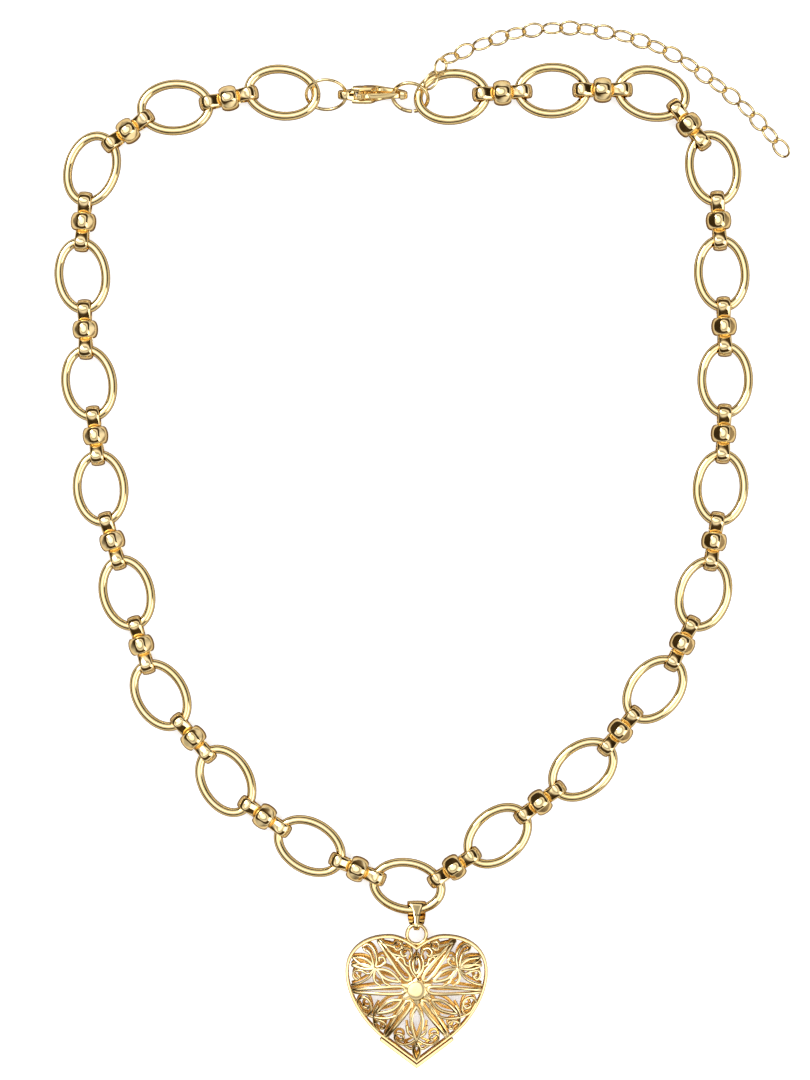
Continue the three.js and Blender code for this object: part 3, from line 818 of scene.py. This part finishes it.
def bail_parts(distance):
    """The folded strip, with X from the wire that it hangs on to the ring, and Z to the front."""
    top, foot = BAIL_TOP_R - BAIL_T / 2, BAIL_FOOT_R - BAIL_T / 2
    lean = math.degrees(math.acos((top - foot) / distance))
    square = top - BAIL_CORNER
    over = arc((-square, square), BAIL_CORNER, 90, 180, 10)
    over += arc((-square, -square), BAIL_CORNER, 180, 270, 10)
    under = arc((distance, 0), foot, -lean, lean, 18)
    loop = []
    for line, turn in ((over, under), (under, over)):
        loop += line
        start, end = Vector(line[-1]), Vector(turn[0])
        loop += [tuple(start.lerp(end, i / 12)) for i in range(1, 12)]
    rings = []
    for point, direction in with_directions([Vector((x, 0, z)) for x, z in loop]):
        outward = direction.cross(ACROSS).normalized()
        if outward.dot(point - Vector((distance / 2, 0, 0))) < 0:
            outward.negate()
        stations, widths = BAIL_FRONT if point.z > 0 else BAIL_BACK
        width = float(np.interp(point.x, stations, widths))
        half, thick = width / 2, BAIL_T / 2
        side = [(thick + 0.05, half * 0.5), (thick, half - 0.04), (thick * 0.8, half), (-thick, half)]
        section = mirrored_section(side, [(thick + 0.07, 0)])
        rings.append([point + outward * u + ACROSS * v for u, v in section])
    return [skin(rings, True)]


def add_bail():
    top, foot = joint_point("bail_swing"), joint_point("heart_swing")
    down = (foot - top).normalized()
    right = Vector((1, 0, 0))
    place = axes_to_matrix(down, right, down.cross(right), top)
    distance = (foot - top).length
    parts = bail_parts(distance)
    add_piece("bail_strip", parts, "stamped", "bail", ["bail"], place)
    # Dark discs laid on the front of the strip: painted shade where the dimples' pits would be.
    front = [p for p in parts[0][0] if p.z > 0 and abs(p.x - DIMPLE_X) < 0.25]
    height = max(p.z for p in front) - 0.01
    shade_discs = []
    for side in (-DIMPLE_Y, DIMPLE_Y):
        shade_spot = Vector((DIMPLE_X, side, height))
        rings = [[shade_spot + Vector((x, y, z)) for x, y in round_section(r, 14)] for r, z in DIMPLE]
        shade_discs.append(skin(rings, False))
    add_piece("bail_dimple_shade", shade_discs, "shade_mark", "bail", ["bail"], place)


# ---- Clasp ----


def outline_plate(name, outlines, half, bevel, finish, body, nodes, matrix, shape=None):
    """A plate with rounded edges from flat outlines, the first one outside and the rest holes.
    shape(x) scales its thickness."""
    curve = bpy.data.curves.new(name, "CURVE")
    curve.dimensions = "2D"
    curve.fill_mode = "BOTH"
    curve.extrude = half - bevel
    curve.bevel_depth = bevel
    curve.bevel_resolution = 4
    curve.offset = -bevel
    for outline in outlines:
        spline = curve.splines.new("POLY")
        spline.points.add(len(outline) - 1)
        for point, (x, y) in zip(spline.points, outline):
            point.co = (x, y, 0, 1)
        spline.use_cyclic_u = True
    maker = bpy.data.objects.new(name + "_maker", curve)
    bpy.context.scene.collection.objects.link(maker)
    bpy.context.view_layer.update()
    solid = maker.evaluated_get(bpy.context.evaluated_depsgraph_get())
    mesh = bpy.data.meshes.new_from_object(solid)
    bpy.data.objects.remove(maker)
    for vertex in mesh.vertices:
        if shape:
            vertex.co.z *= shape(vertex.co.x)
        vertex.co = (matrix @ vertex.co) * MM
    mesh.name = name
    finish_piece(name, mesh, finish, body, nodes)


def bezier_run(points, *spans):
    """Extends a list of flat points by cubic spans from its last point."""
    for a, b, c in spans:
        knots = [Vector((*p, 0)) for p in (points[-1], a, b, c)]
        points += [tuple(p.xy) for p in interpolate_bezier(*knots, 13)[1:]]
    return points


def spine_outline():
    """The claw's tail, back and nose, open where the lever's slot is."""
    points = arc(TAIL_EYE, 1.4, 50, 310, 24)
    bezier_run(
        points,
        ((3.4, -1.2), (4.2, -2.4), (6.6, -2.6)),
        ((9.4, -2.8), (11.6, -2.2), (12, -0.2)),
        ((12.1, 0.6), (11.9, 1.2), (11.4, 1.6)),
    )
    points += [(10.75, 1.5), (10.6, -0.4)]
    bezier_run(points, ((10.2, -1.4), (9, -1.5), (8, -1.45)), ((7.3, -1.43), (6.8, -1.2), (6.5, -0.9)))
    points += [(2.8, -0.9), (2.6, 0.9)]
    return points


def lever_outline():
    points = arc(PIVOT, 0.95, 150, 300, 14)
    points += [(5.9, 0.82), (10.3, 0.9), (10.42, 1.3)]
    bezier_run(points, ((9.2, 1.7), (7, 1.85), (5.6, 1.85)), ((4.9, 1.9), (4.4, 2.2), (4.2, 2.7)))
    points += [(3.8, 2.95), (3.3, 2.85), (3.2, 2.2)]
    return points


def claw_swell(x):
    """The claw's thickness at x, as a share of the thickest."""
    return float(np.interp(x, *CLAW_SWELL))


def spring_parts():
    """A small torsion spring's coil."""
    steps = 72
    path = []
    for i in range(steps + 1):
        angle = 2 * math.pi * SPRING_TURNS * i / steps
        height = SPRING_LENGTH * (i / steps - 0.5)
        turn = Vector((SPRING_R * math.cos(angle), SPRING_R * math.sin(angle), height))
        path.append(Vector((*SPRING_CENTRE, 0)) + turn)
    rings = []
    for i, point in enumerate(path):
        direction = (path[min(i + 1, steps)] - path[max(i - 1, 0)]).normalized()
        side = direction.cross(UP).normalized()
        rise = side.cross(direction)
        rings.append([point + side * u + rise * v for u, v in round_section(SPRING_WIRE_R, 8)])
    return [skin(rings, False)]


def rivet_parts():
    rings = []
    for z, r in RIVET:
        rings.append([Vector((PIVOT[0] + x, PIVOT[1] + y, z)) for x, y in round_section(r, 24)])
    return [skin(rings, False)]


def add_clasp():
    eye, pivot = joint_point("clasp_roll"), joint_point("clasp_lever_press")
    up = -joint_axis("clasp_lever_press")
    lean = math.atan2(PIVOT[1] - TAIL_EYE[1], PIVOT[0] - TAIL_EYE[0])
    along = Matrix.Rotation(-lean, 3, up) @ (pivot - eye).normalized()
    across = up.cross(along)
    place = axes_to_matrix(along, across, up, eye - along * TAIL_EYE[0] - across * TAIL_EYE[1])
    spine = [spine_outline(), arc(TAIL_EYE, TAIL_EYE_R, 0, 345, 23)]
    body = ("clasp", ["clasp_body"])
    outline_plate("clasp_claw", spine, CLAW_HALF, CLAW_BEVEL, "cast", *body, place, claw_swell)
    for name, z in (("upper", CHEEK_Z), ("lower", -CHEEK_Z)):
        side = place @ Matrix.Translation((0, 0, z))
        outline_plate(f"clasp_cheek_{name}", [CHEEK], CHEEK_HALF, CHEEK_BEVEL, "cast", *body, side)
    lever = ("clasp_lever", ["clasp_lever"])
    outline_plate("clasp_thumb_lever", [lever_outline()], LEVER_HALF, LEVER_BEVEL, "cast", *lever, place)
    # The rivet pin takes the darker gold: painted shade.
    add_piece("clasp_rivet_pin", rivet_parts(), "shaded_gold", "clasp", ["clasp_rivet"], place)
    add_piece("clasp_spring_coil", spring_parts(), "steel", "clasp", ["clasp_spring"], place)

    ring = wire_ring(TAIL_RING_R, TAIL_RING_R, TAIL_RING_WIRE_R, TAIL_RING_TURN, TAIL_RING_GAP, 96, 16)
    place = ring_plane("tail_jump_ring")
    add_piece("clasp_tail_ring", [ring], "wire", "tail_jump_ring", ["tail_jump_ring"], place)
    ring = wire_ring(END_RING_R, END_RING_R, END_RING_WIRE_R, END_RING_TURN, END_RING_GAP, 96, 16)
    place = ring_plane("end_jump_ring")
    add_piece("chain_end_ring", [ring], "wire", "end_jump_ring", ["end_jump_ring"], place)


# ---- Extender ----


def add_extender():
    """The small links one by one, each riding on its group's body."""
    shift = joint_point("extender_1_swing") - Vector(EXTENDER_ROUTE[0])
    route = smooth_path(EXTENDER_ROUTE, 60)
    lengths = [0]
    for before, after in zip(route, route[1:]):
        lengths.append(lengths[-1] + (after - before).length)
    pitch = (lengths[-1] - SMALL_WIRE_R) / SMALL_LINKS

    def at(distance):
        return Vector([np.interp(distance, lengths, [p[k] for p in route]) for k in range(3)])

    for number in range(SMALL_LINKS):
        group, k = divmod(number, LINKS_PER_GROUP)
        squeeze = (k - (LINKS_PER_GROUP - 1) / 2) * -GROUP_GAP / LINKS_PER_GROUP
        distance = (number + 0.5) * pitch + squeeze
        along = (at(distance + 0.1) - at(distance - 0.1)).normalized()
        across = UP.cross(along).normalized()
        tilt = Matrix.Rotation(math.radians(SMALL_TILT if number % 2 else -SMALL_TILT), 4, "X")
        place = axes_to_matrix(along, across, along.cross(across), at(distance) + shift) @ tilt
        ring = wire_ring(SMALL_A, SMALL_B, SMALL_WIRE_R, 68, 1.6, 44, 12)
        node = f"extender_links_{group + 1}"
        add_piece(f"extender_link_{number + 1:02d}", [ring], "wire", node, [node], place)


# ---- Stage ----


def unless_reflected(tree, seen, reflected):
    """Mixes two shaders: what only a reflection meets, and what everything else does."""
    rays = tree.nodes.new("ShaderNodeLightPath")
    choose = tree.nodes.new("ShaderNodeMixShader")
    tree.links.new(rays.outputs["Is Glossy Ray"], choose.inputs["Fac"])
    tree.links.new(seen, choose.inputs[1])
    tree.links.new(reflected, choose.inputs[2])
    return choose.outputs["Shader"]


def add_floor():
    """A white floor. A reflection sees it shaded close to the metal and lit further off."""
    half = 3
    corners = [(-half, -half, 0), (half, -half, 0), (half, half, 0), (-half, half, 0)]
    mesh = bpy.data.meshes.new("floor")
    mesh.from_pydata(corners, [], [(0, 1, 2, 3)])
    floor = bpy.data.objects.new("floor", mesh)
    bpy.context.scene.collection.objects.link(floor)
    material, tree, shader = new_material("floor_acrylic", (0.9, 0.9, 0.9), 0.9)
    shader.inputs["Metallic"].default_value = 0
    shader.inputs["Specular IOR Level"].default_value = 0
    shader.inputs["Emission Color"].default_value = (1, 1, 1, 1)
    shader.inputs["Emission Strength"].default_value = FLOOR_GLOW
    mirrored = tree.nodes.new("ShaderNodeEmission")
    rays = tree.nodes.new("ShaderNodeLightPath")
    reach = tree.nodes.new("ShaderNodeMath")
    reach.operation = "DIVIDE"
    reach.inputs[1].default_value = SHADE_REACH * MM
    shade = tree.nodes.new("ShaderNodeValToRGB")
    shade.color_ramp.elements[0].position = 0.3
    shade.color_ramp.elements[0].color = (*FLOOR_NEAR, 1)
    shade.color_ramp.elements[1].color = (*FLOOR_FAR, 1)
    tree.links.new(rays.outputs["Ray Length"], reach.inputs[0])
    tree.links.new(reach.outputs["Value"], shade.inputs["Fac"])
    tree.links.new(shade.outputs["Color"], mirrored.inputs["Color"])
    chosen = unless_reflected(tree, shader.outputs["BSDF"], mirrored.outputs["Emission"])
    tree.links.new(chosen, tree.nodes["Material Output"].inputs["Surface"])
    mesh.materials.append(material)


def sky_bands(tree, share):
    """The studio's colour by the share of the way up. What is dim in it is warm."""
    bands = tree.nodes.new("ShaderNodeValToRGB")
    bands.color_ramp.interpolation = "EASE"
    while len(bands.color_ramp.elements) < len(SKY):
        bands.color_ramp.elements.new(0.5)
    for element, (position, brightness) in zip(bands.color_ramp.elements, SKY):
        element.position = position
        warm = max(0, 1 - 2 * brightness)
        element.color = (*(brightness * (1 + (tint - 1) * warm) for tint in SKY_WARMTH), 1)
    tree.links.new(share, bands.inputs["Fac"])
    return bands.outputs["Color"]


def sky_patches(tree, coordinates, share):
    """Soft patches of light and shade, which fade out near straight up."""
    patches = tree.nodes.new("ShaderNodeTexNoise")
    patches.inputs["Scale"].default_value = SKY_PATCH_SCALE
    patches.inputs["Detail"].default_value = 0
    tree.links.new(coordinates, patches.inputs["Vector"])
    steady = tree.nodes.new("ShaderNodeMapRange")
    steady.inputs["From Min"].default_value = SKY_STEADY[0]
    steady.inputs["From Max"].default_value = SKY_STEADY[1]
    tree.links.new(share, steady.inputs["Value"])
    strength = tree.nodes.new("ShaderNodeMix")
    strength.inputs["B"].default_value = 1
    tree.links.new(steady.outputs["Result"], strength.inputs["Factor"])
    tree.links.new(spread(tree, patches.outputs["Fac"], *SKY_PATCHES), strength.inputs["A"])
    return strength.outputs["Result"]


def add_world():
    """The studio that the metal reflects, round a plain pale backdrop."""
    world = bpy.data.worlds.new("studio")
    bpy.context.scene.world = world
    world.use_nodes = True
    tree = world.node_tree
    tree.nodes.clear()
    coordinates = tree.nodes.new("ShaderNodeTexCoord").outputs["Generated"]
    tilt = tree.nodes.new("ShaderNodeMapping")
    tilt.inputs["Rotation"].default_value = (math.radians(SKY_TILT[0]), math.radians(SKY_TILT[1]), 0)
    split = tree.nodes.new("ShaderNodeSeparateXYZ")
    height = tree.nodes.new("ShaderNodeMath")
    height.operation = "ARCSINE"
    share = tree.nodes.new("ShaderNodeMath")
    share.operation = "DIVIDE"
    share.inputs[1].default_value = math.pi / 2
    studio = tree.nodes.new("ShaderNodeBackground")
    backdrop = tree.nodes.new("ShaderNodeBackground")
    backdrop.inputs["Color"].default_value = (BACKDROP, BACKDROP, BACKDROP, 1)
    output = tree.nodes.new("ShaderNodeOutputWorld")
    links = tree.links
    links.new(coordinates, tilt.inputs["Vector"])
    links.new(tilt.outputs["Vector"], split.inputs["Vector"])
    links.new(split.outputs["Z"], height.inputs[0])
    links.new(height.outputs["Value"], share.inputs[0])
    links.new(sky_bands(tree, share.outputs["Value"]), studio.inputs["Color"])
    links.new(sky_patches(tree, coordinates, share.outputs["Value"]), studio.inputs["Strength"])
    chosen = unless_reflected(tree, backdrop.outputs["Background"], studio.outputs["Background"])
    links.new(chosen, output.inputs["Surface"])


def add_light(name, place, size, power):
    """An area light that faces the middle of the necklace. Its place and size are in metres."""
    data = bpy.data.lights.new(name, "AREA")
    data.size = size
    data.energy = power
    light = bpy.data.objects.new(name, data)
    light.location = place
    light.rotation_euler = (-Vector(place)).to_track_quat("-Z", "Y").to_euler()
    bpy.context.scene.collection.objects.link(light)


def add_camera():
    """Straight above the necklace, far enough for FRAME_HEIGHT to fill the picture."""
    data = bpy.data.cameras.new("camera")
    data.lens = CAMERA_LENS
    data.sensor_width = SENSOR
    camera = bpy.data.objects.new("camera", data)
    distance = FRAME_HEIGHT * CAMERA_LENS / SENSOR
    camera.location = Vector((*CAMERA_OFFSET, CHAIN_Z + distance)) * MM
    bpy.context.scene.collection.objects.link(camera)
    bpy.context.scene.camera = camera


# ---- Scene ----

for number, node in enumerate(sorted(n for n in frame["nodes"] if n.startswith("oval_link"))):
    add_oval(node, number)
for node in sorted(n for n in frame["nodes"] if n.startswith("connector")):
    add_connector(node)
add_heart()
add_bail()
add_clasp()
add_extender()
add_floor()
add_world()
add_light("key", (-0.5, 0.45, 0.75), 0.35, 3)
add_light("fill", (0.6, -0.3, 0.6), 0.5, 2)
add_camera()
bpy.context.scene.view_settings.view_transform = "Standard"
